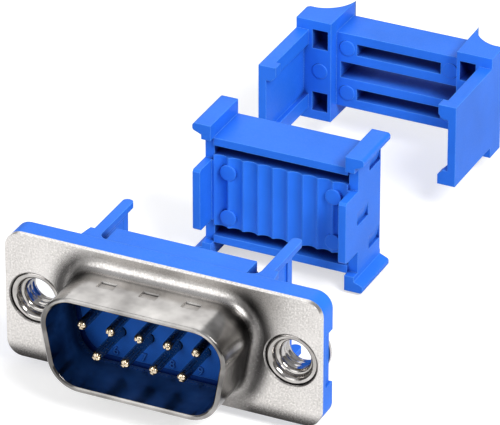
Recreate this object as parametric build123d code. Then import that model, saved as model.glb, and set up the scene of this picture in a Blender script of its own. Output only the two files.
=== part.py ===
from build123d import *
import math
import os

# Nine-way male D connector for flat cable, in millimetres.
# X runs along the connector, Z is up and the mating face looks along -Y.
# The origin is on the front face of the flange, halfway between its two threaded inserts.
# The cable cover and the strain relief stand behind the body, drawn off along +Y.

# Contacts
pin_count = 9
pin_pitch = 2.77
row_spacing = 2.84
pin_radius = 0.5
pin_length = 4.8
pin_taper_length = 0.5
pin_end_radius = 0.24
pin_hole_clearance = 0.02
cable_pitch = 1.5
link_depth = 0.7
link_thickness = 0.5
link_margin = 0.1
fork_inset = 1.7
fork_width = 1.1
fork_thickness = 0.35
fork_length = 0.6
fork_slot_width = 0.3
fork_slot_depth = 1.2
fork_mouth_depth = 0.4

# Metal shell
sheet = 0.5
shell_reach = 5.9
shell_row_room = 2.76
shell_end_room = 2.68
shell_side_angle = 10
shell_inner_corner = 2.6
bend_radius = 1.0
lip_bevel = 0.14
flange_margin = 0.57
flange_end_margin = 0.205
flange_corner = 1.5
dimple_count = 3
dimple_length = 1.6
dimple_width = 1.1
dimple_depth = 0.15
dimple_taper = 25
dimple_pitch = 4.1
dimple_place = 2.4

# Threaded inserts
insert_bend_gap = 0.275
insert_arm_gap = 0.5
thread_radius = 1.42
insert_radius = 2.2
insert_rim_radius = 2.5
insert_rim_recess = 0.15
insert_countersink = 0.12
insert_mouth_radius = 2.3
insert_funnel_depth = 1.25
insert_funnel_steps = 4
insert_collar_radius = 2.7
insert_collar_height = 0.5

# Insulating body
plate_thickness = 1.9
floor_rise = 0.15
boss_clearance = 0.05
block_end_room = 0.85
block_inset = 0.35
block_depth = 3.0
block_edge = 0.25
ledge_depth = 0.85
ledge_inset = 0.5
end_notch_depth = 0.35
end_notch_half_height = 2.65
end_notch_lip = 0.5

# Latch arms of the body
arm_gap = 0.95
arm_thickness = 1.0
arm_reach = 5.2
arm_bar_height = 0.6
arm_tip_round = 0.45
arm_root_play = 0.1
arm_web_inset = 0.1
arm_web_thickness = 0.35
arm_web_setback = 1.2
arm_window_start = 0.3
arm_window_frame = 0.9
arm_window_rim = 0.35
guard_width = 0.75
guard_taper = 0.35
guard_depth = 2.2

# Cable cover
cover_front = 24.6
cover_depth = 5.2
cover_wall = 0.8
cover_slot_height = 1.0
cover_slot_depth = 4.2
cover_end_clearance = 0.1
cover_side_wall = 0.95
groove_depth = 0.28
groove_land = 0.14
tab_floor_gap = 0.4
tab_half_height = 3.15
tab_thickness = 0.75
tab_chamfer = 0.2
ear_overhang = 0.9
ear_foot = 0.1
ear_gap = 0.12
ear_height = 1.08
ear_edge_height = 0.7
ear_lead = 0.6
ear_tail = 0.1
ear_round = 0.3
end_recess_depth = 0.3
notch_depth = 0.3
notch_height = 1.4
notch_length = 2.4
notch_inset = 0.1
middle_notch_drop = 0.4
outer_notch_z = 4.1

# Strain relief
relief_front = 41.5
leg_side_room = 0.55
leg_wall = 0.8
leg_gap = 0.95
leg_floor_gap = 0.35
leg_flange_gap = 0.6
leg_flange_height = 1.5
hook_gap = 0.1
hook_length = 1.1
hook_chamfer = 0.5
post_width = 3.65
post_rise = 1.1
post_side_depth = 2.65
post_shoulder = 1.0
post_tip_depth = 5.5
post_curve_sag = 0.45
post_round = 0.4
post_web = 0.35
post_cap = 0.95
window_width = 1.6
window_height = 2.0
window_depth = 2.0
bar_setback = 1.25
bar_depth = 3.8
bar_inset = 0.25
bar_tip_inset = 0.1
bar_slot_end = 2.15
bar_slot_height = 1.2
bar_window_end = 0.45
bar_window_half_height = 0.85

# Gaps left when the pieces are pressed home
cable_gap = 0.7
relief_gap = 0.8

# Places across the connector that follow from the sizes above
contact_span = (pin_count - 1) / 2
row_z = row_spacing / 2
shell_inner_height = row_spacing + 2 * shell_row_room
shell_mid_half_width = pin_pitch * contact_span / 2 + shell_end_room
flange_half_height = shell_inner_height / 2 + sheet + bend_radius + flange_margin
block_half_length = cable_pitch * contact_span + block_end_room
block_half_height = flange_half_height - block_inset
fork_row_z = block_half_height - fork_inset
arm_inner = block_half_length + arm_gap
arm_outer = arm_inner + arm_thickness
arm_web_inner = arm_inner + arm_web_inset
arm_web_outer = arm_web_inner + arm_web_thickness
arm_top = flange_half_height - ledge_inset
arm_bar_bottom = arm_top - arm_bar_height
guard_outer = arm_outer + guard_width
insert_beside_shell = shell_mid_half_width + sheet + bend_radius + insert_bend_gap + insert_rim_radius
insert_beside_arm = arm_outer + insert_arm_gap + insert_collar_radius
insert_x = max(insert_beside_shell, insert_beside_arm)
flange_half_length = insert_x + max(insert_rim_radius, insert_collar_radius) + flange_end_margin
cover_end = arm_inner - cover_end_clearance
cover_slot_half_length = cover_end - cover_side_wall
cover_slot_top = fork_row_z + cover_slot_height / 2
rib_half_height = fork_row_z - cover_slot_height / 2
cover_half_height = cover_slot_top + cover_wall
ear_outer = cover_end + ear_overhang
ear_bottom = arm_top + ear_gap
ear_root = cover_half_height - ear_foot
ear_top = ear_bottom + ear_height
relief_outer = arm_outer + leg_side_room + leg_wall
relief_half_height = arm_bar_bottom - leg_gap
leg_flange_inner = arm_web_outer + leg_flange_gap
leg_flange_bottom = relief_half_height - leg_flange_height
hook_inner = arm_web_outer + hook_gap
post_inner = relief_outer - post_width
post_half_height = relief_half_height + post_rise
bar_half_height = relief_half_height - bar_inset

# Places along the mating axis
floor_y = sheet - floor_rise
plate_rear = sheet + plate_thickness
link_front = sheet + link_depth
link_rear = link_front + link_thickness
ledge_rear = plate_rear + ledge_depth
block_rear = plate_rear + block_depth
guard_rear = plate_rear + guard_depth
arm_tip = block_rear + arm_reach
arm_web_rear = arm_tip - arm_web_setback
tab_reach = block_depth - ledge_depth + cable_gap - tab_floor_gap
cover_seat = block_rear + cable_gap
leg_length = cover_seat + cover_depth + relief_gap - ledge_rear - leg_floor_gap
cover_travel = cover_front - cover_seat
relief_travel = relief_front - cover_front + leg_length - cover_depth - relief_gap


def slab(outline, front, rear):
    """A flat outline in X and Z, made solid from y = front back to y = rear."""
    return extrude(Plane.XZ.offset(-rear) * outline, amount=rear - front)


def block(left, right, front, rear, bottom, top):
    """A rectangular block between six planes."""
    size = Box(right - left, rear - front, top - bottom)
    return Pos((left + right) / 2, (front + rear) / 2, (bottom + top) / 2) * size


def layer(outline, bottom, top):
    """A flat outline in X and Y, made solid from z = bottom up to z = top."""
    return extrude(Plane.XY.offset(bottom) * outline, amount=top - bottom)


def both_sides(piece):
    """The piece and its mirror image across the middle of the connector."""
    return piece + mirror(piece, Plane.YZ)


def top_and_bottom(piece):
    """The piece and its mirror image below the middle."""
    return piece + mirror(piece, Plane.XY)


def d_outline(growth):
    """The D of the shell, grown outwards by a wall from the inside of the sheet."""
    slope = math.tan(math.radians(shell_side_angle))
    half_height = shell_inner_height / 2 + growth
    middle = shell_mid_half_width + growth / math.cos(math.radians(shell_side_angle))
    wide = middle + half_height * slope
    narrow = middle - half_height * slope
    corners = [(-wide, half_height), (-narrow, -half_height), (narrow, -half_height), (wide, half_height)]
    outline = Polygon(*corners, align=None)
    return fillet(outline.vertices(), shell_inner_corner + growth)


def flange_outline():
    """The outer outline that the metal flange and the body share."""
    return RectangleRounded(2 * flange_half_length, 2 * flange_half_height, flange_corner)


def edges_of_d_at(solid, y):
    """Edges of the D that lie in one plane across the mating axis."""
    near = 0.01
    outer_half_length = insert_x - insert_rim_radius
    flat = solid.edges().filter_by_position(Axis.Y, y - near, y + near)
    inside = flat.filter_by(lambda edge: abs(edge.center().X) < outer_half_length)
    return inside.filter_by(lambda edge: abs(edge.center().Z) < flange_half_height - near)


def dimple(x):
    """Pressed spot on the top of the D: its pit and its bump inside."""
    outer_z = shell_inner_height / 2 + sheet
    place = Pos(x, -dimple_place, outer_z) * Rot(X=180)
    pit = extrude(place * Rectangle(dimple_length, dimple_width), amount=dimple_depth, taper=dimple_taper)
    return pit, Pos(0, 0, -sheet) * pit


def make_front_shell():
    """Flange and D tube drawn from one sheet, with pressed spots for a firm grip on the mating shell."""
    shell = slab(flange_outline(), 0, sheet)
    shell += slab(d_outline(sheet), -shell_reach, sheet)
    shell = fillet(edges_of_d_at(shell, 0), bend_radius)
    shell -= slab(d_outline(0), -shell_reach - sheet, 2 * sheet)
    shell = chamfer(edges_of_d_at(shell, sheet), (2 - math.sqrt(2)) * (bend_radius + sheet))
    shell = chamfer(shell.edges().group_by(Axis.Y)[0], lip_bevel)
    for number in range(dimple_count):
        pit, bump = dimple(dimple_pitch * (number - (dimple_count - 1) / 2))
        shell = shell - pit + bump
    for x in (-insert_x, insert_x):
        shell -= slab(Pos(x, 0) * Circle(insert_rim_radius), -sheet, 2 * sheet)
    circles = shell.edges().filter_by(GeomType.CIRCLE)
    front = circles.filter_by_position(Axis.Y, -insert_countersink, insert_countersink)
    mouths = front.filter_by(lambda edge: abs(edge.radius - insert_rim_radius) < insert_countersink)
    return chamfer(mouths, insert_countersink)


def funnel_point(step):
    """One corner of the trumpet mouth, from its wide front to the thread."""
    angle = math.radians(90 * step / insert_funnel_steps)
    radius = insert_mouth_radius - (insert_mouth_radius - thread_radius) * math.sin(angle)
    return radius, insert_rim_recess + insert_funnel_depth * (1 - math.cos(angle))


def make_threaded_insert(x):
    """Turned eyelet let into the flange: trumpet mouth, threaded hole, collar rolled over behind."""
    rear = plate_rear + insert_collar_height
    mouth = [funnel_point(step) for step in range(insert_funnel_steps + 1)]
    outside = [
        (thread_radius, rear),
        (insert_collar_radius, rear),
        (insert_collar_radius, plate_rear),
        (insert_radius, plate_rear),
        (insert_radius, sheet),
        (insert_rim_radius, sheet),
        (insert_rim_radius, insert_rim_recess),
    ]
    turned = revolve(make_face(Polyline(*mouth, *outside, close=True)), Axis.Y)
    return Pos(x, 0, 0) * turned


def contact_place(index):
    """Pin and fork positions of a contact, counted from the middle, negative to the left."""
    row = 1 if index % 2 == 0 else -1
    return index * pin_pitch / 2, index * cable_pitch, row


def link_outline(index):
    """The flat web of a contact, from its pin out to its fork."""
    pin_x, fork_x, row = contact_place(index)
    root = pin_radius + link_margin
    near_z = row * (row_z - root)
    far_z = row * (fork_row_z + fork_thickness / 2)
    half_fork = fork_width / 2
    corners = [
        (pin_x - root, near_z),
        (pin_x + root, near_z),
        (fork_x + half_fork, far_z),
        (fork_x - half_fork, far_z),
    ]
    return make_face(Polyline(*corners, close=True))


def fork_outline(index):
    """Section of the fork's blade, across the mating axis."""
    fork_x, row = contact_place(index)[1:]
    return Pos(fork_x, row * fork_row_z) * Rectangle(fork_width, fork_thickness)


def make_pin():
    """Round pin along the mating axis with a tapered tip."""
    profile = [
        (0, -pin_length),
        (pin_end_radius, -pin_length),
        (pin_radius, pin_taper_length - pin_length),
        (pin_radius, link_rear),
        (0, link_rear),
    ]
    return revolve(make_face(Polyline(*profile, close=True)), Axis.Y)


def make_fork_slot(index):
    """The slit that cuts through a wire's insulation, with its open mouth."""
    fork_x, row = contact_place(index)[1:]
    tip = block_rear + fork_length
    half_slot = fork_slot_width / 2
    half_mouth = fork_width / 2
    outline = [
        (fork_x - half_mouth, tip),
        (fork_x - half_slot, tip - fork_mouth_depth),
        (fork_x - half_slot, tip - fork_slot_depth),
        (fork_x + half_slot, tip - fork_slot_depth),
        (fork_x + half_slot, tip - fork_mouth_depth),
        (fork_x + half_mouth, tip),
    ]
    slot = make_face(Polyline(*outline, close=True))
    return extrude(Plane.XY.offset(row * fork_row_z) * slot, amount=fork_thickness, both=True)


def make_contact(index):
    """One contact: a round pin, a flat web and the slotted fork that cuts into the cable."""
    pin_x, fork_x, row = contact_place(index)
    contact = Pos(pin_x, 0, row * row_z) * make_pin()
    contact += slab(link_outline(index), link_front, link_rear)
    contact += slab(fork_outline(index), link_front, block_rear + fork_length)
    return contact - make_fork_slot(index)


def contact_room(index):
    """The hole and the slot in the body that hold one contact, open to the rear."""
    pin_x, fork_x, row = contact_place(index)
    hole_radius = pin_radius + pin_hole_clearance
    room = slab(Pos(pin_x, row * row_z) * Circle(hole_radius), floor_y - sheet, link_front)
    room += slab(link_outline(index), link_front, block_rear + sheet)
    return room + slab(fork_outline(index), link_front, block_rear + sheet)


def latch_bar_outline():
    """Plan of the top right bar and its guard, swept into the ledge and rounded at the tip."""
    sweep = arm_gap - arm_root_play
    corner = sweep * (1 - math.sqrt(0.5))
    root_x = arm_inner - sweep
    guard_tip = guard_outer - guard_taper
    sweep_middle = (arm_inner - corner, ledge_rear + corner)
    rim = ThreePointArc((root_x, ledge_rear), sweep_middle, (arm_inner, ledge_rear + sweep))
    corners = [
        (arm_inner, ledge_rear + sweep),
        (arm_inner, arm_tip),
        (arm_outer, arm_tip),
        (arm_outer, guard_rear),
        (guard_tip, guard_rear),
        (guard_outer, plate_rear),
        (root_x, plate_rear),
        (root_x, ledge_rear),
    ]
    return make_face(rim + Polyline(*corners))


def make_latch_bar():
    """Top right bar of the latch arm."""
    bar = layer(latch_bar_outline(), arm_bar_bottom, arm_top)
    return fillet(bar.edges().filter_by(Axis.Z).group_by(Axis.Y)[-1], arm_tip_round)


def make_latch_arm():
    """Right-hand arm: two long bars joined by a thin web with a window."""
    web = block(arm_web_inner, arm_web_outer, plate_rear, arm_web_rear, -arm_bar_bottom, arm_bar_bottom)
    window_front = block_rear + arm_window_start
    window_rear = arm_web_rear - arm_window_frame
    half_window = arm_bar_bottom - arm_window_rim
    web -= block(arm_web_inner, arm_web_outer, window_front, window_rear, -half_window, half_window)
    return top_and_bottom(make_latch_bar()) + web


def make_insulator_body():
    """Moulded body: floor of the D, flange backing, rear block, latch arms and guards."""
    body = slab(flange_outline(), sheet, plate_rear)
    body += slab(d_outline(-boss_clearance), floor_y, sheet)
    body += slab(Rectangle(2 * arm_outer, 2 * arm_top), plate_rear, ledge_rear)
    rear_block = slab(Rectangle(2 * block_half_length, 2 * block_half_height), plate_rear, block_rear)
    body += chamfer(rear_block.edges().group_by(Axis.Y)[-1], block_edge)
    body += both_sides(make_latch_arm())
    notch_inner = flange_half_length - end_notch_depth
    notch_front = sheet + end_notch_lip
    half_notch = end_notch_half_height
    notch = block(notch_inner, flange_half_length, notch_front, plate_rear, -half_notch, half_notch)
    body -= both_sides(notch)
    for x in (-insert_x, insert_x):
        body -= slab(Pos(x, 0) * Circle(insert_radius), 0, plate_rear + sheet)
    for index in contact_indices:
        body -= contact_room(index)
    return body


def make_end_notch(front, ledge):
    """Catch cut into the end face of the cover: it slopes in from above and ends on a ledge."""
    deep = cover_end - notch_depth
    outline = Polyline((cover_end, ledge), (deep, ledge), (cover_end, ledge + notch_height), close=True)
    return slab(make_face(outline), front, front + notch_length)


def make_ear():
    """Corner ear of the cover, reaching over a latch arm with a sloping underside."""
    corners = [
        (cover_slot_half_length, ear_root),
        (cover_end, ear_root),
        (cover_end, ear_bottom),
        (ear_outer, ear_top - ear_edge_height),
        (ear_outer, ear_top),
        (cover_slot_half_length, ear_top),
    ]
    outline = Polyline(*corners, close=True)
    ear = slab(make_face(outline), -ear_lead, cover_depth + ear_tail)
    outer = ear.edges().filter_by(Axis.Y).group_by(Axis.X)[-1]
    return fillet(outer, ear_round)


def make_cable_cover():
    """Ribbed block that presses the flat cable onto the forks."""
    cover = block(-cover_end, cover_end, 0, cover_depth, -cover_half_height, cover_half_height)
    half_slot = cover_slot_half_length
    slot = block(-half_slot, half_slot, 0, cover_slot_depth, rib_half_height, cover_slot_top)
    cover -= top_and_bottom(slot)
    chord = cable_pitch - groove_land
    groove_radius = (chord * chord / 4 + groove_depth * groove_depth) / (2 * groove_depth)
    groove_face = Pos(0, groove_depth - groove_radius) * Circle(groove_radius)
    groove = extrude(Plane.XY * groove_face, amount=rib_half_height, both=True)
    for index in contact_indices:
        cover -= Pos(index * cable_pitch, 0, 0) * groove
    recess = block(half_slot, cover_end, 0, end_recess_depth, tab_half_height, ear_root)
    cover -= both_sides(top_and_bottom(recess))
    tab_inner = cover_end - tab_thickness
    tab = block(tab_inner, cover_end, -tab_reach, end_recess_depth, -tab_half_height, tab_half_height)
    tab = chamfer(tab.edges().group_by(Axis.Y)[0].filter_by(Axis.X), tab_chamfer)
    cover += both_sides(tab) + both_sides(top_and_bottom(make_ear()))
    rear_notch = cover_depth - notch_length - notch_inset
    catches = [(notch_inset, -middle_notch_drop), (rear_notch, outer_notch_z), (rear_notch, -outer_notch_z)]
    for front, ledge in catches:
        cover -= both_sides(make_end_notch(front, ledge))
    return Pos(0, cover_front, 0) * cover


def make_relief_leg():
    """Right-hand leg: a thin wall with a flange along its top and bottom, hooked at the front."""
    leg = block(relief_outer - leg_wall, relief_outer, 0, leg_length, -relief_half_height, relief_half_height)
    flange = block(leg_flange_inner, relief_outer, 0, leg_length, leg_flange_bottom, relief_half_height)
    hook = block(hook_inner, leg_flange_inner, 0, hook_length, leg_flange_bottom, relief_half_height)
    flange += hook
    lower_front = flange.edges().filter_by(Axis.Y).group_by(Axis.X)[0].group_by(Axis.Z)[0]
    flange = chamfer(lower_front, hook_chamfer)
    return leg + top_and_bottom(flange)


def make_relief_post():
    """Right-hand corner post: a tall gusset with a hollow rear edge and two square pockets."""
    front = leg_length
    side_rear = front + post_side_depth
    tip = front + post_tip_depth
    tip_x = post_inner - bar_tip_inset
    shoulder_x = relief_outer - post_shoulder
    middle_x = (shoulder_x + tip_x) / 2 - post_curve_sag
    middle_y = (side_rear + tip) / 2 - post_curve_sag
    rim = ThreePointArc((shoulder_x, side_rear), (middle_x, middle_y), (tip_x, tip))
    corners = [
        (tip_x, tip),
        (post_inner, front),
        (relief_outer, front),
        (relief_outer, side_rear),
        (shoulder_x, side_rear),
    ]
    rim += Polyline(*corners)
    post = extrude(Plane.XY * make_face(rim), amount=post_half_height, both=True)
    corner = post.edges().filter_by(Axis.Z).sort_by(lambda edge: edge.center().X + edge.center().Y)[-1]
    post = fillet(corner, post_round)
    window_inner = post_inner + post_web
    window_top = post_half_height - post_cap
    window_bottom = window_top - window_height
    window_outer = window_inner + window_width
    window = block(window_inner, window_outer, front, front + window_depth, window_bottom, window_top)
    return post - top_and_bottom(window)


def make_strain_relief():
    """Yoke that clamps the cable as it folds back over the cover."""
    bar_front = leg_length + bar_setback
    bar_rear = bar_front + bar_depth
    relief = block(-post_inner, post_inner, bar_front, bar_rear, -bar_half_height, bar_half_height)
    slot_z = (bar_window_half_height + bar_half_height) / 2
    slot_x = post_inner - bar_slot_end
    slot_low = slot_z - bar_slot_height / 2
    slot = block(-slot_x, slot_x, bar_front, bar_rear, slot_low, slot_low + bar_slot_height)
    middle_x = post_inner - bar_window_end
    middle_z = bar_window_half_height
    relief -= top_and_bottom(slot)
    relief -= block(-middle_x, middle_x, bar_front, bar_rear, -middle_z, middle_z)
    relief += both_sides(make_relief_post() + make_relief_leg())
    return Pos(0, relief_front, 0) * relief


def write(name, piece):
    """One STEP file for one piece."""
    solids = piece.solids()
    result = solids[0] if len(solids) == 1 else Compound(children=solids)
    result.label = name
    export_step(result, os.path.join("parts", name + ".step"))


contact_indices = range(-(pin_count // 2), pin_count // 2 + 1)
os.makedirs("parts", exist_ok=True)
write("front_shell", make_front_shell())
write("insulator_body", make_insulator_body())
write("threaded_insert_left", make_threaded_insert(-insert_x))
write("threaded_insert_right", make_threaded_insert(insert_x))
top_row = [index for index in contact_indices if index % 2 == 0]
bottom_row = [index for index in contact_indices if index % 2]
for number, index in enumerate(top_row + bottom_row, start=1):
    write(f"contact_pin_{number}", make_contact(index))
write("cable_cover", make_cable_cover())
write("strain_relief", make_strain_relief())
print(f"cover travel {cover_travel:.2f} mm, relief travel {relief_travel:.2f} mm")
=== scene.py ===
import math
import bmesh
import bpy
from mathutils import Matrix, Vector


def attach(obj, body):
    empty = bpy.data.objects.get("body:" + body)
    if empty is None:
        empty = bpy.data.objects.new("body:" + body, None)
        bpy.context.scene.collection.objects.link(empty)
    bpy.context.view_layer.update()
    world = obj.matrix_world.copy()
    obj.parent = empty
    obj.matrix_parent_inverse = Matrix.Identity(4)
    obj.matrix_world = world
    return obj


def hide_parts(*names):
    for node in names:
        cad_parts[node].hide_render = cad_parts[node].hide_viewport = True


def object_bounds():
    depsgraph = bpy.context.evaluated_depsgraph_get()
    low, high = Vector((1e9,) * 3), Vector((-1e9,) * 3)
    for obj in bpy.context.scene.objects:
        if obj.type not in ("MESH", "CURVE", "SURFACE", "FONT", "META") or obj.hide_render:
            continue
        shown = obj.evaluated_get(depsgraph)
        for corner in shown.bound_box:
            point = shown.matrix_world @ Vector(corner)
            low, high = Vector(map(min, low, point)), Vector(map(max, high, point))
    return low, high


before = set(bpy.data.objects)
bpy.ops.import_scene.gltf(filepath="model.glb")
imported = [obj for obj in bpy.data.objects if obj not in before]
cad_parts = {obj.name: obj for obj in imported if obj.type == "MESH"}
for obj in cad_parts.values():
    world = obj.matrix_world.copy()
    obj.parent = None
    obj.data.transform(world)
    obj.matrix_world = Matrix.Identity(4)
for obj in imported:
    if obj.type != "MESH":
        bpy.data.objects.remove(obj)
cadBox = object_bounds()
mm = 0.001
print("frame loaded")


def addObject(name, data):
    item = bpy.data.objects.new(name, data)
    bpy.context.scene.collection.objects.link(item)
    return item


def standAndLook(item, place, aim):
    # both points in mm
    item.location = Vector(place) * mm
    item.rotation_mode = "QUATERNION"
    item.rotation_quaternion = (Vector(aim) - Vector(place)).to_track_quat("-Z", "Y")


# node helpers: a value may be a number, a colour or the output of another node
def feed(links, socket, value):
    if isinstance(value, bpy.types.NodeSocket):
        links.new(value, socket)
    else:
        socket.default_value = value


def addMath(nodes, links, work, *values):
    node = nodes.new("ShaderNodeMath")
    node.operation = work
    for socket, value in zip(node.inputs, values):
        feed(links, socket, value)
    return node.outputs[0]


def addRange(nodes, links, value, lowIn, highIn, lowOut=0.0, highOut=1.0):
    node = nodes.new("ShaderNodeMapRange")
    links.new(value, node.inputs["Value"])
    limits = {"From Min": lowIn, "From Max": highIn, "To Min": lowOut, "To Max": highOut}
    for label, limit in limits.items():
        feed(links, node.inputs[label], limit)
    return node.outputs["Result"]


def addNoise(nodes, links, where, scale, detail, roughness):
    node = nodes.new("ShaderNodeTexNoise")
    for label, value in {"Vector": where, "Scale": scale, "Detail": detail, "Roughness": roughness}.items():
        feed(links, node.inputs[label], value)
    return node.outputs["Fac"]


def mixColours(nodes, links, mask, first, second):
    node = nodes.new("ShaderNodeMix")
    node.data_type = "RGBA"
    links.new(mask, node.inputs["Factor"])
    colours = [socket for socket in node.inputs if socket.type == "RGBA"]
    feed(links, colours[0], first)
    feed(links, colours[1], second)
    return [socket for socket in node.outputs if socket.type == "RGBA"][0]


def mixValues(nodes, links, mask, first, second):
    node = nodes.new("ShaderNodeMix")
    numbers = [socket for socket in node.inputs if socket.type == "VALUE"]
    for socket, value in zip(numbers, (mask, first, second)):
        feed(links, socket, value)
    return node.outputs[0]


def placeOn(nodes, links, axis):
    # distance along one axis of the connector, in mm
    parts = nodes.new("ShaderNodeSeparateXYZ")
    links.new(nodes.new("ShaderNodeTexCoord").outputs["Object"], parts.inputs[0])
    return addMath(nodes, links, "MULTIPLY", parts.outputs[axis], 1 / mm)


def newGroup(name, inputs, outputs):
    group = bpy.data.node_groups.new(name, "ShaderNodeTree")
    for label in inputs:
        group.interface.new_socket(label, in_out="INPUT", socket_type="NodeSocketFloat")
    for label, kind in outputs.items():
        group.interface.new_socket(label, in_out="OUTPUT", socket_type=kind)
    return group, group.nodes.new("NodeGroupInput").outputs, group.nodes.new("NodeGroupOutput").inputs


def useGroup(nodes, group, **values):
    node = nodes.new("ShaderNodeGroup")
    node.node_tree = group
    for label, value in values.items():
        node.inputs[label.replace("_", " ")].default_value = value
    return node.outputs


# camera: same stand and lens as the photograph, lengths in mm
picture = {
    "stand": (181.7, -366.2, 241.8),
    "aim": (2.94, 11.95, 6.40),
    "lens": 389.2,
    "sensor": 36.0,
    "nearest": 10.0,
    "furthest": 20000.0,
}


def makeCamera(values):
    lens = bpy.data.cameras.new("viewCamera")
    lens.sensor_width = values["sensor"]
    lens.lens = values["lens"]
    lens.clip_start = values["nearest"] * mm
    lens.clip_end = values["furthest"] * mm
    camera = addObject("viewCamera", lens)
    standAndLook(camera, values["stand"], values["aim"])
    bpy.context.scene.camera = camera


makeCamera(picture)

# soft boxes: place, aim, width (mm) and watts
studioLamps = {
    "keyLamp": ((300, -130, 330), (0, 20, 0), 220, 2.1),
    "fillLamp": ((-200, -380, 240), (0, 10, 0), 440, 0.9),
    "rimLamp": ((-190, 410, 260), (0, 30, 0), 320, 0.38),
}


def makeLamp(name, place, aim, size, watts):
    light = bpy.data.lights.new(name, "AREA")
    light.shape = "DISK"
    light.size = size * mm
    light.energy = watts
    standAndLook(addObject(name, light), place, aim)


for lampName, lampValues in studioLamps.items():
    makeLamp(lampName, *lampValues)

floorPaper = {
    "drop": 0.3,  # mm under the lowest point
    "size": 3.0,  # m
    "colour": (0.56, 0.56, 0.56, 1.0),
    "glow": 0.6,
}


def makeFloorPaper(values):
    # the glow shows to the camera and in reflections, and casts no light on the object
    mat = bpy.data.materials.new("floorPaper")
    mat.use_nodes = True
    nodes, links = mat.node_tree.nodes, mat.node_tree.links
    nodes.clear()
    paper = nodes.new("ShaderNodeBsdfDiffuse")
    paper.inputs["Color"].default_value = values["colour"]
    path = nodes.new("ShaderNodeLightPath").outputs
    seen = addMath(nodes, links, "MAXIMUM", path["Is Camera Ray"], path["Is Glossy Ray"])
    seen = addMath(nodes, links, "MAXIMUM", seen, path["Is Transmission Ray"])
    glow = nodes.new("ShaderNodeEmission")
    links.new(addMath(nodes, links, "MULTIPLY", seen, values["glow"]), glow.inputs["Strength"])
    both = nodes.new("ShaderNodeAddShader")
    links.new(paper.outputs[0], both.inputs[0])
    links.new(glow.outputs[0], both.inputs[1])
    links.new(both.outputs[0], nodes.new("ShaderNodeOutputMaterial").inputs["Surface"])
    return mat


def makeFloor(values):
    low = cadBox[0].z - values["drop"] * mm
    half = values["size"] / 2
    corners = [(-half, -half, low), (half, -half, low), (half, half, low), (-half, half, low)]
    mesh = bpy.data.meshes.new("studioFloor")
    mesh.from_pydata(corners, [], [(0, 1, 2, 3)])
    mesh.materials.append(makeFloorPaper(values))
    floor = addObject("studioFloor", mesh)


makeFloor(floorPaper)

# soft light from all round, darker towards the horizon
studioSky = {
    "edge": (0.30, 0.29, 0.285, 1.0),
    "top": (0.95, 0.96, 1.0, 1.0),
    "topFrom": 0.7,
    "strength": 0.5,
}


def makeSky(values):
    world = bpy.data.worlds.new("studioSky")
    bpy.context.scene.world = world
    world.use_nodes = True
    nodes, links = world.node_tree.nodes, world.node_tree.links
    nodes.clear()
    parts = nodes.new("ShaderNodeSeparateXYZ")
    links.new(nodes.new("ShaderNodeTexCoord").outputs["Generated"], parts.inputs[0])
    ramp = nodes.new("ShaderNodeValToRGB")
    horizon, top = ramp.color_ramp.elements
    horizon.position = 0.0
    horizon.color = values["edge"]
    top.position = values["topFrom"]
    top.color = values["top"]
    links.new(parts.outputs["Z"], ramp.inputs[0])
    back = nodes.new("ShaderNodeBackground")
    back.inputs["Strength"].default_value = values["strength"]
    links.new(ramp.outputs[0], back.inputs["Color"])
    links.new(back.outputs[0], nodes.new("ShaderNodeOutputWorld").inputs["Surface"])


makeSky(studioSky)
bpy.context.scene.view_settings.view_transform = "Standard"
print("camera, lamps and floor made")

# rounded corners for the shader, and a mask that is one on them
edgeEffect = {
    "samples": 6,
    "flat": 0.995,  # cosine between the face and the rounded normal
    "round": 0.80,
}


def makeEdgeGroup(values):
    outputs = {"Normal": "NodeSocketVector", "Mask": "NodeSocketFloat"}
    group, given, made = newGroup("roundedEdges", ["Radius"], outputs)
    nodes, links = group.nodes, group.links
    bevel = nodes.new("ShaderNodeBevel")
    bevel.samples = values["samples"]
    links.new(given["Radius"], bevel.inputs["Radius"])
    likeness = nodes.new("ShaderNodeVectorMath")
    likeness.operation = "DOT_PRODUCT"
    links.new(bevel.outputs[0], likeness.inputs[0])
    links.new(nodes.new("ShaderNodeNewGeometry").outputs["Normal"], likeness.inputs[1])
    links.new(bevel.outputs[0], made["Normal"])
    mask = addRange(nodes, links, likeness.outputs["Value"], values["flat"], values["round"])
    links.new(mask, made["Mask"])
    return group


# fine grain of a moulded or plated face, with slow clouds in its tone
grainEffect = {
    "fineNoise": (3.0, 0.6),  # detail and roughness
    "coarseNoise": (2.0, 0.5),
    "coarseShare": 0.37,  # scale of the coarse grain beside the fine one
    "cloudNoise": (3.0, 0.55),
    "speckle": (0.36, 0.66),
    "cloud": (0.3, 0.7),
}


def makeGrainGroup(values):
    outputs = {"Height": "NodeSocketFloat", "Speckle": "NodeSocketFloat", "Cloud": "NodeSocketFloat"}
    group, given, made = newGroup("surfaceGrain", ["Grain Scale", "Cloud Scale"], outputs)
    nodes, links = group.nodes, group.links
    place = nodes.new("ShaderNodeTexCoord").outputs["Object"]
    fine = addNoise(nodes, links, place, given["Grain Scale"], *values["fineNoise"])
    coarseScale = addMath(nodes, links, "MULTIPLY", given["Grain Scale"], values["coarseShare"])
    coarse = addNoise(nodes, links, place, coarseScale, *values["coarseNoise"])
    cloud = addNoise(nodes, links, place, given["Cloud Scale"], *values["cloudNoise"])
    both = addMath(nodes, links, "ADD", fine, coarse)
    links.new(addMath(nodes, links, "MULTIPLY", both, 0.5), made["Height"])
    links.new(addRange(nodes, links, fine, *values["speckle"]), made["Speckle"])
    links.new(addRange(nodes, links, cloud, *values["cloud"]), made["Cloud"])
    return group


# mask for painted shade: one deep in slots and corners, nothing on open faces; shallow and deep are shares
# of open sky
hollowEffect = {
    "samples": 8,
}


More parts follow.
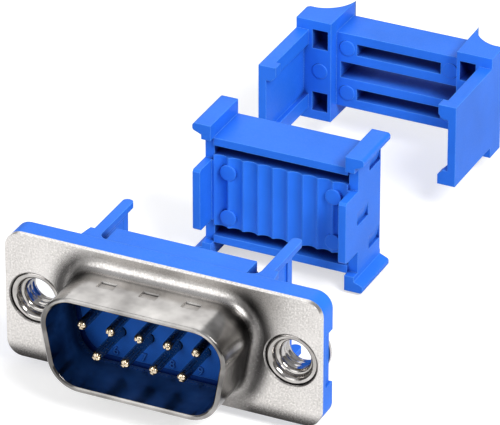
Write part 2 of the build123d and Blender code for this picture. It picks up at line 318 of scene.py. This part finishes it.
def makeHollowGroup(values):
    group, given, made = newGroup("deepHollows", ["Reach", "Shallow", "Deep"], {"Mask": "NodeSocketFloat"})
    nodes, links = group.nodes, group.links
    openness = nodes.new("ShaderNodeAmbientOcclusion")
    openness.samples = values["samples"]
    links.new(given["Reach"], openness.inputs["Distance"])
    fade = nodes.new("ShaderNodeMapRange")
    fade.interpolation_type = "SMOOTHSTEP"
    links.new(openness.outputs["AO"], fade.inputs["Value"])
    links.new(given["Shallow"], fade.inputs["From Min"])
    links.new(given["Deep"], fade.inputs["From Max"])
    links.new(fade.outputs["Result"], made["Mask"])
    return group


edgeGroup = makeEdgeGroup(edgeEffect)
grainGroup = makeGrainGroup(grainEffect)
hollowGroup = makeHollowGroup(hollowEffect)
print("shared effects made")


def hollowMask(nodes, reach, shallow, deep):
    return useGroup(nodes, hollowGroup, Reach=reach * mm, Shallow=shallow, Deep=deep)["Mask"]


def startMaterial(name, values):
    # an empty skin with the outputs of the three shared effects
    mat = bpy.data.materials.new(name)
    mat.use_nodes = True
    nodes, links = mat.node_tree.nodes, mat.node_tree.links
    grain = useGroup(nodes, grainGroup, Grain_Scale=values["grainScale"], Cloud_Scale=values["cloudScale"])
    edges = useGroup(nodes, edgeGroup, Radius=values["edgeRadius"] * mm)
    return mat, nodes, links, grain, edges, hollowMask(nodes, *values["hollowDepth"])


def finishMaterial(mat, colour, rough, height, normal, values):
    # what all the finishes end with; metallic is 1 on plate and 0 on plastic
    nodes, links = mat.node_tree.nodes, mat.node_tree.links
    skin = nodes["Principled BSDF"]
    bump = nodes.new("ShaderNodeBump")
    bump.inputs["Strength"].default_value = values["bumpStrength"]
    bump.inputs["Distance"].default_value = values["bumpDepth"] * mm
    links.new(height, bump.inputs["Height"])
    links.new(normal, bump.inputs["Normal"])
    links.new(colour, skin.inputs["Base Color"])
    links.new(rough, skin.inputs["Roughness"])
    links.new(bump.outputs[0], skin.inputs["Normal"])
    skin.inputs["Metallic"].default_value = values["metallic"]
    return skin


# moulded blue thermoplastic
bluePlastic = {
    "deep": (0.018, 0.155, 0.73, 1.0),
    "light": (0.024, 0.188, 0.86, 1.0),
    # painted highlight along the rounded edges
    "edge": (0.110, 0.360, 0.96, 1.0),
    "edgeHighlightShare": 0.85,
    "edgeRadius": 0.13,
    # painted shade: near-black navy put into slots and deep corners
    "hollow": (0.002, 0.022, 0.22, 1.0),
    "hollowDepth": (3.2, 0.60, 0.24),  # reach in mm, open sky where it starts and where it is full
    "hollowRough": 0.95,
    "rough": (0.42, 0.56),
    "refraction": 1.47,
    "shine": 0.2,
    "metallic": 0.0,
    "grainScale": 7000.0,
    "cloudScale": 140.0,
    "bumpStrength": 0.5,
    "bumpDepth": 0.006,
}


def makeBluePlastic(values):
    mat, nodes, links, grain, edges, hollow = startMaterial("bluePlastic", values)
    body = mixColours(nodes, links, grain["Cloud"], values["deep"], values["light"])
    # painted highlight: edges made lighter as if catching the light
    edgeHighlight = addMath(nodes, links, "MULTIPLY", edges["Mask"], values["edgeHighlightShare"])
    body = mixColours(nodes, links, edgeHighlight, body, values["edge"])
    # painted shade in slots and corners
    colour = mixColours(nodes, links, hollow, body, values["hollow"])
    rough = addRange(nodes, links, grain["Speckle"], 0.0, 1.0, *values["rough"])
    rough = mixValues(nodes, links, hollow, rough, values["hollowRough"])
    skin = finishMaterial(mat, colour, rough, grain["Height"], edges["Normal"], values)
    skin.inputs["IOR"].default_value = values["refraction"]
    skin.inputs["Specular IOR Level"].default_value = values["shine"]
    return mat


blueMat = makeBluePlastic(bluePlastic)

# nickel plate on the drawn shell: speckled flange, smoother tube
shellPlate = {
    "pale": (0.74, 0.715, 0.69, 1.0),
    "dark": (0.45, 0.43, 0.41, 1.0),
    "cloudShare": 0.6,
    "tube": (0.49, 0.475, 0.455, 1.0),
    "tubeShade": (0.17, 0.162, 0.155, 1.0),
    "tubeStart": (-0.5, -1.2),  # mm along the connector, in front of the flange
    "paintedDarkReflection": (0.12, 0.114, 0.11, 1.0),  # painted dark reflection on the ends of the D
    "darkReflectionTone": (0.85, 0.35),
    "endsFrom": (5.2, 8.7),  # mm from the middle
    "rootShade": (0.03, 0.028, 0.028, 1.0),
    "rootDepth": (2.45, 0.93, 0.86),  # as the hollows
    # painted shade inside the D and in other deep corners
    "hollow": (0.045, 0.042, 0.042, 1.0),
    "hollowDepth": (3.0, 0.82, 0.38),
    "flangeRough": (0.40, 0.26),
    "tubeRough": (0.13, 0.24),
    "metallic": 1.0,
    "edgeRadius": 0.07,
    "grainScale": 5600.0,
    "cloudScale": 230.0,
    "bumpStrength": 0.35,
    "bumpDepth": 0.005,
}


def makeShellPlate(values):
    mat, nodes, links, grain, edges, hollow = startMaterial("shellPlate", values)
    clouds = addMath(nodes, links, "MULTIPLY", grain["Cloud"], values["cloudShare"])
    flange = mixColours(nodes, links, grain["Speckle"], values["dark"], values["pale"])
    flange = mixColours(nodes, links, clouds, flange, values["pale"])
    fromMiddle = addMath(nodes, links, "ABSOLUTE", placeOn(nodes, links, "X"))
    atEnds = addRange(nodes, links, fromMiddle, *values["endsFrom"])
    # painted dark reflection on the ends of the D, streaked by the clouds
    darkReflectionShare = addRange(nodes, links, grain["Cloud"], *values["darkReflectionTone"])
    darkReflectionShare = addMath(nodes, links, "MULTIPLY", atEnds, darkReflectionShare)
    tube = mixColours(nodes, links, grain["Cloud"], values["tubeShade"], values["tube"])
    tube = mixColours(nodes, links, darkReflectionShare, tube, values["paintedDarkReflection"])
    onTube = addRange(nodes, links, placeOn(nodes, links, "Y"), *values["tubeStart"])
    plate = mixColours(nodes, links, onTube, flange, tube)
    # painted shade along the root of the D at its ends
    root = addMath(nodes, links, "MULTIPLY", hollowMask(nodes, *values["rootDepth"]), atEnds)
    plate = mixColours(nodes, links, root, plate, values["rootShade"])
    # painted shade inside the D and in other deep corners
    colour = mixColours(nodes, links, hollow, plate, values["hollow"])
    flangeRough = addRange(nodes, links, grain["Speckle"], 0.0, 1.0, *values["flangeRough"])
    tubeRough = addRange(nodes, links, grain["Cloud"], 0.0, 1.0, *values["tubeRough"])
    rough = mixValues(nodes, links, onTube, flangeRough, tubeRough)
    finishMaterial(mat, colour, rough, grain["Height"], edges["Normal"], values)
    return mat


shellMat = makeShellPlate(shellPlate)


def dressNode(name, mat):
    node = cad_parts[name]
    for slot in node.material_slots:
        slot.material = mat
    if not node.material_slots:
        node.data.materials.append(mat)


for nodeName in ("insulator_body", "cable_cover", "strain_relief"):
    dressNode(nodeName, blueMat)
dressNode("front_shell", shellMat)
print("blue mouldings and shell dressed")

pieceEdges = {
    "weld": 1e-7,  # m
    "sharp": 35.0,  # degrees from which an edge stays crisp
}


# mesh helpers, with all lengths in mm until the points are made
def newPiece(name, verts, faces, mat, body, sharp=pieceEdges["sharp"]):
    mesh = bpy.data.meshes.new(name)
    mesh.from_pydata(verts, [], faces)
    mesh.update()
    shape = bmesh.new()
    shape.from_mesh(mesh)
    bmesh.ops.remove_doubles(shape, verts=shape.verts, dist=pieceEdges["weld"])
    bmesh.ops.recalc_face_normals(shape, faces=shape.faces)
    for face in shape.faces:
        face.smooth = True
    for edge in shape.edges:
        if len(edge.link_faces) == 2 and edge.calc_face_angle(0.0) > math.radians(sharp):
            edge.smooth = False
    shape.to_mesh(mesh)
    shape.free()
    mesh.materials.append(mat)
    piece = addObject(name, mesh)
    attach(piece, body)
    return piece


def ringGrid(rows, around, pointAt, centre):
    # rings about a line along Y; pointAt(row, angle) gives radius and y
    verts, faces = [], []
    for row in range(rows):
        for step in range(around):
            angle = 2 * math.pi * step / around
            radius, y = pointAt(row, angle)
            x, z = centre[0] + radius * math.cos(angle), centre[1] + radius * math.sin(angle)
            verts.append((x * mm, y * mm, z * mm))
    for row in range(rows - 1):
        here, there = row * around, (row + 1) * around
        for step in range(around):
            nextStep = (step + 1) % around
            faces.append((here + step, here + nextStep, there + nextStep, there + step))
    return verts, faces


def turned(profile, around, centre):
    return ringGrid(len(profile), around, lambda row, angle: profile[row], centre)


def prismOf(outline, low, high, place):
    # a flat outline made thick; place(u, v, w) gives the point
    count = len(outline)
    verts = [tuple(c * mm for c in place(u, v, w)) for w in (low, high) for u, v in outline]
    faces = [tuple(range(count)), tuple(range(2 * count - 1, count - 1, -1))]
    faces += [(i, (i + 1) % count, (i + 1) % count + count, i + count) for i in range(count)]
    return verts, faces


def addFaces(verts, faces, more, moreFaces):
    base = len(verts)
    verts += more
    faces += [tuple(index + base for index in face) for face in moreFaces]


def quarterTurn(first, steps):
    # share across and share along at each step of a quarter round
    angles = [math.radians(90 * step / steps) for step in range(first, steps + 1)]
    return [(math.sin(angle), 1 - math.cos(angle)) for angle in angles]


# bright nickel on the turned inserts
insertPlate = {
    "pale": (0.56, 0.54, 0.52, 1.0),
    "dark": (0.28, 0.265, 0.25, 1.0),
    # painted shade down in the funnel and bore
    "hollow": (0.05, 0.047, 0.045, 1.0),
    "hollowDepth": (1.6, 0.62, 0.2),
    "rough": (0.10, 0.20),
    "metallic": 1.0,
    "edgeRadius": 0.04,
    "grainScale": 4200.0,
    "cloudScale": 420.0,
    "ringScale": 5.2,  # turning marks to the mm
    "bumpStrength": 0.35,
    "bumpDepth": 0.004,
}


def makeInsertPlate(values):
    mat, nodes, links, grain, edges, hollow = startMaterial("insertPlate", values)
    plate = mixColours(nodes, links, grain["Cloud"], values["dark"], values["pale"])
    # painted shade down in the funnel and bore
    colour = mixColours(nodes, links, hollow, plate, values["hollow"])
    rough = addRange(nodes, links, grain["Speckle"], 0.0, 1.0, *values["rough"])
    marks = nodes.new("ShaderNodeTexNoise")  # they run round the axis
    marks.noise_dimensions = "1D"
    marks.inputs["Scale"].default_value = values["ringScale"]
    links.new(placeOn(nodes, links, "Y"), marks.inputs["W"])
    finishMaterial(mat, colour, rough, marks.outputs["Fac"], edges["Normal"], values)
    return mat


insertMat = makeInsertPlate(insertPlate)

threadedInsert = {
    "centre": 12.495,
    "around": 96,
    "rimRadius": 2.49,
    "rimFront": 0.15,
    "rimBack": 0.48,
    "rimRound": 0.18,
    "rimPoint": 0.3,  # middle of the rounding, as a share of it
    "mouthRadius": 2.2,
    "mouthSteps": 8,
    "stepRadius": 1.78,  # a small land between the trumpet and the thread
    "stepDepth": 0.85,
    "stepWidth": 0.12,
    "stepDrop": 0.03,
    "leadSteps": 6,
    "bodyRadius": 2.19,
    "collarRadius": 2.7,
    "collarFront": 2.42,
    "collarRound": [(0.0, 0.15), (0.06, 0.04), (0.2, 0.0)],  # inwards and forwards of its rear corner
    "rear": 2.9,
    "threadStart": 1.4,
    "threadOuter": 1.42,
    "threadInner": 1.35,
    "threadRows": 26,
    "threadFade": 0.25,
    "threadShape": (1.3, 0.15),  # steepness of the flanks, and width cut off the root
    "pitch": 0.635,
    "sharp": 50.0,
}


def insertProfile(values):
    # section from the thread out over the rim and back to the rolled collar
    front, step, rear = values["rimFront"], values["stepDepth"], values["rear"]
    mouth, land, bore = values["mouthRadius"], values["stepRadius"], values["threadOuter"]
    profile = []
    for across, along in quarterTurn(0, values["mouthSteps"]):
        profile.append((mouth - (mouth - land) * across, front + (step - front) * along))
    inner, step = land - values["stepWidth"], step + values["stepDrop"]
    profile.append((inner, step))
    for across, along in quarterTurn(1, values["leadSteps"]):
        profile.append((inner - (inner - bore) * across, step + (values["threadStart"] - step) * along))
    profile.reverse()
    outer, bend = values["rimRadius"], values["rimRound"]
    middle = bend * values["rimPoint"]
    profile += [(outer - bend, front), (outer - middle, front + middle), (outer, front + bend)]
    shank, collar = values["bodyRadius"], values["collarRadius"]
    profile += [(outer, values["rimBack"]), (shank, values["rimBack"])]
    profile += [(shank, values["collarFront"]), (collar, values["collarFront"])]
    profile += [(collar - inwards, rear - forwards) for inwards, forwards in values["collarRound"]]
    return profile + [(bore, rear)]


def makeInsert(name, side, values):
    centre = (side * values["centre"], 0.0)
    start, length = values["threadStart"], values["rear"] - values["threadStart"]
    steep, cut = values["threadShape"]

    def threadAt(row, angle):
        along = length * row / (values["threadRows"] - 1)
        turn = ((start + along) / values["pitch"] - angle / (2 * math.pi)) % 1.0
        ridge = max(0.0, min(1.0, steep * (1 - abs(2 * turn - 1)) - cut))
        fade = min(1.0, along / values["threadFade"], (length - along) / values["threadFade"])
        depth = (values["threadOuter"] - values["threadInner"]) * ridge * fade
        return values["threadOuter"] - depth, start + along

    verts, faces = turned(insertProfile(values), values["around"], centre)
    addFaces(verts, faces, *ringGrid(values["threadRows"], values["around"], threadAt, centre))
    piece = newPiece(name, verts, faces, insertMat, "connector", values["sharp"])
    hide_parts("threaded_insert_" + ("left" if side < 0 else "right"))


makeInsert("threadedInsertLeft", -1, threadedInsert)
makeInsert("threadedInsertRight", 1, threadedInsert)
print("threaded inserts made")

# plated contacts: dull shank, pale gold tip
pinPlate = {
    "shank": (0.34, 0.325, 0.30, 1.0),
    "tip": (0.66, 0.56, 0.42, 1.0),
    "tipFrom": (-4.25, -4.5),  # mm along the connector
    # painted shade on the pins deep in the D
    "hollow": (0.03, 0.03, 0.035, 1.0),
    "hollowDepth": (3.0, 0.55, 0.15),
    "rough": (0.16, 0.28),
    "metallic": 1.0,
    "edgeRadius": 0.03,
    "grainScale": 6000.0,
    "cloudScale": 700.0,
    "bumpStrength": 0.3,
    "bumpDepth": 0.002,
}


def makePinPlate(values):
    mat, nodes, links, grain, edges, hollow = startMaterial("pinPlate", values)
    onTip = addRange(nodes, links, placeOn(nodes, links, "Y"), *values["tipFrom"])
    plate = mixColours(nodes, links, onTip, values["shank"], values["tip"])
    # painted shade on the pins deep in the D
    colour = mixColours(nodes, links, hollow, plate, values["hollow"])
    rough = addRange(nodes, links, grain["Speckle"], 0.0, 1.0, *values["rough"])
    finishMaterial(mat, colour, rough, grain["Height"], edges["Normal"], values)
    return mat


pinMat = makePinPlate(pinPlate)

contactPins = {
    "order": [-4, -2, 0, 2, 4, -3, -1, 1, 3],  # half pitches from the middle; the even ones are above
    "pitch": 2.77,
    "rowZ": 1.42,
    "radius": 0.46,
    "around": 48,
    "tip": -4.8,
    "tipFlat": 0.16,
    "tipLift": 0.01,
    "domeLength": 0.45,
    "domeSteps": 10,
    "shankSteps": (0.2, 0.4, 0.6),  # behind the dome
    "root": 1.7,
    "lobes": 3,
    "twist": 0.9,  # turn of the creases from one contact to the next, in radians
    "creaseDepth": 0.38,
    "creaseWidth": 0.24,
    "creaseLength": 0.25,
    "creaseSink": 0.10,
    "cablePitch": 1.5,
    "linkFront": 1.2,
    "linkBack": 1.7,
    "linkMargin": 0.1,
    "forkRowZ": 4.2,
    "forkWidth": 1.1,
    "forkThick": 0.35,
    "forkTip": 6.0,
    "slotWidth": 0.3,
    "slotDepth": 1.2,
    "mouthDepth": 0.4,
}


def rowOf(index):
    # one for the row above, minus one for the row below
    return 1 if index % 2 == 0 else -1


def pinRings(values):
    # radius and distance from the tip of each ring of a pin
    flat, lift, radius = values["tipFlat"], values["tipLift"], values["radius"]
    dome, length = values["domeLength"], values["root"] - values["tip"]
    rings = [(0.0, 0.0), (flat / 2, 0.0), (flat, lift)]
    for across, along in quarterTurn(1, values["domeSteps"]):
        rings.append((flat + (radius - flat) * across, lift + (dome - lift) * along))
    rings += [(radius, dome + step) for step in values["shankSteps"]]
    return rings + [(radius, length), (0.0, length)]


def makePin(index, values):
    rings = pinRings(values)
    lastOfDome = 2 + values["domeSteps"]

    def pinAt(ring, angle):
        radius, along = rings[ring]
        fade = max(0.0, 1 - along / (values["domeLength"] + values["creaseLength"]))
        turn = (angle + index * values["twist"]) * values["lobes"] / (2 * math.pi) % 1.0
        crease = fade * math.exp(-((min(turn, 1 - turn) / (values["creaseWidth"] / 2)) ** 2))
        sink = values["creaseSink"] * crease if 0 < ring < lastOfDome else 0.0
        return radius * (1 - values["creaseDepth"] * crease), values["tip"] + along + sink

    centre = (index * values["pitch"] / 2, rowOf(index) * values["rowZ"])
    return ringGrid(len(rings), values["around"], pinAt, centre)


def makeLink(index, values):
    # slanting web from the pin out to the fork
    row, pinX, forkX = rowOf(index), index * values["pitch"] / 2, index * values["cablePitch"]
    root, half = values["radius"] + values["linkMargin"], values["forkWidth"] / 2
    near = row * (values["rowZ"] - root)
    far = row * (values["forkRowZ"] + values["forkThick"] / 2)
    outline = [(pinX - root, near), (pinX + root, near), (forkX + half, far), (forkX - half, far)]
    return prismOf(outline, values["linkFront"], values["linkBack"], lambda u, v, w: (u, w, v))


def makeFork(index, values):
    # slotted blade; each point is the distance from the middle and the y
    tip, half, slot = values["forkTip"], values["forkWidth"] / 2, values["slotWidth"] / 2
    right = [(half, values["linkFront"]), (half, tip)]
    right += [(slot, tip - values["mouthDepth"]), (slot, tip - values["slotDepth"])]
    across = right + [(-x, y) for x, y in reversed(right)]
    outline = [(index * values["cablePitch"] + x, y) for x, y in across]
    middle, thick = rowOf(index) * values["forkRowZ"], values["forkThick"] / 2
    return prismOf(outline, middle - thick, middle + thick, lambda u, v, w: (u, v, w))


def makeContact(number, index, values):
    verts, faces = makePin(index, values)
    addFaces(verts, faces, *makeLink(index, values))
    addFaces(verts, faces, *makeFork(index, values))
    piece = newPiece(f"contact{number}", verts, faces, pinMat, "connector")
    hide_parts(f"contact_pin_{number}")


for contactNumber, contactIndex in enumerate(contactPins["order"], start=1):
    makeContact(contactNumber, contactIndex, contactPins)
print("contacts made")

# contact numbers raised on the floor of the D
contactMarks = {
    "size": 1.15,
    "raised": 0.12,
    "floorY": 0.35,
    "sideways": -0.5,
    "away": 2.1,  # further out than the row of pins
}


def makeNumber(number, index, values):
    label = bpy.data.curves.new(f"mark{number}", "FONT")
    label.body = str(number)
    label.size = values["size"] * mm
    label.extrude = values["raised"] * mm
    label.align_x = "CENTER"
    label.align_y = "CENTER"
    holder = addObject(f"markShape{number}", label)
    bpy.context.view_layer.update()
    solid = holder.evaluated_get(bpy.context.evaluated_depsgraph_get())
    mesh = bpy.data.meshes.new_from_object(solid)
    bpy.data.objects.remove(holder)
    x = index * contactPins["pitch"] / 2 + values["sideways"]
    z = rowOf(index) * (contactPins["rowZ"] + values["away"])
    for vert in mesh.vertices:
        u, v, w = vert.co
        vert.co = (x * mm + u, values["floorY"] * mm - w, z * mm + v)
    mesh.materials.clear()
    mesh.materials.append(blueMat)
    piece = addObject(f"contactMark{number}", mesh)
    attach(piece, "connector")


for contactNumber, contactIndex in enumerate(contactPins["order"], start=1):
    makeNumber(contactNumber, contactIndex, contactMarks)
print("contact numbers made")

# thin panels that close the windows of the latch arms, with their front corners cut off
armPanels = {
    "inner": 7.93,  # x of the two faces
    "outer": 8.10,
    "front": 5.62,
    "rear": 8.58,
    "halfHeight": 4.88,
    "corner": 0.3,
}


def makeArmPanel(name, side, values):
    front, rear, half, corner = values["front"], values["rear"], values["halfHeight"], values["corner"]
    outline = [(front, corner - half), (front + corner, -half), (rear, -half)]
    outline += [(y, -z) for y, z in reversed(outline)]
    verts, faces = prismOf(outline, values["inner"], values["outer"], lambda y, z, x: (side * x, y, z))
    newPiece(name, verts, faces, blueMat, "connector")


makeArmPanel("armPanelLeft", -1, armPanels)
makeArmPanel("armPanelRight", 1, armPanels)
print("arm panels made")

# round marks left by the ejector pins of the mould
ejectorMarks = {
    "radius": 0.80,
    "around": 48,
    "buried": 0.35,
    "round": 0.05,
    "roundPoint": (0.3, 0.4),  # middle of the rounding, inwards and back, as a share of it
    "flat": 0.7,  # share of the radius
    "fall": 0.01,  # of the face towards its rounding
    "sharp": 40.0,
    "raised": {"cable_cover": 0.04, "strain_relief": 0.09},
    "faceY": {"cable_cover": [24.6] * 4, "strain_relief": [51.25] * 4 + [50.0] * 2},
    "centres": {
        "cable_cover": [(-5.3, 2.1), (-5.3, -2.6), (5.3, 2.1), (5.3, -2.6)],
        "strain_relief": [(-5.35, 2.4), (-5.35, -2.4), (5.35, 2.4), (5.35, -2.4), (-7.65, 0), (7.65, 0)],
    },
    "names": {"cable_cover": "coverEjector", "strain_relief": "reliefEjector"},
}


def makeEjectorMark(name, body, centre, faceY, values):
    radius, bend, fall = values["radius"], values["round"], values["fall"]
    inwards, back = values["roundPoint"]
    front, rear = faceY - values["raised"][body], faceY + values["buried"]
    profile = [(0.0, front), (radius * values["flat"], front)]
    profile += [(radius - 2 * bend, front + fall / 2), (radius - bend, front + fall)]
    profile += [(radius - bend * inwards, front + bend * back), (radius, front + bend)]
    profile += [(radius, rear), (0.0, rear)]
    verts, faces = turned(profile, values["around"], centre)
    newPiece(name, verts, faces, blueMat, body, values["sharp"])


for bodyName, pieceName in ejectorMarks["names"].items():
    marks = zip(ejectorMarks["centres"][bodyName], ejectorMarks["faceY"][bodyName])
    for markNumber, (markCentre, markY) in enumerate(marks, start=1):
        makeEjectorMark(f"{pieceName}{markNumber}", bodyName, markCentre, markY, ejectorMarks)
print("ejector marks made")
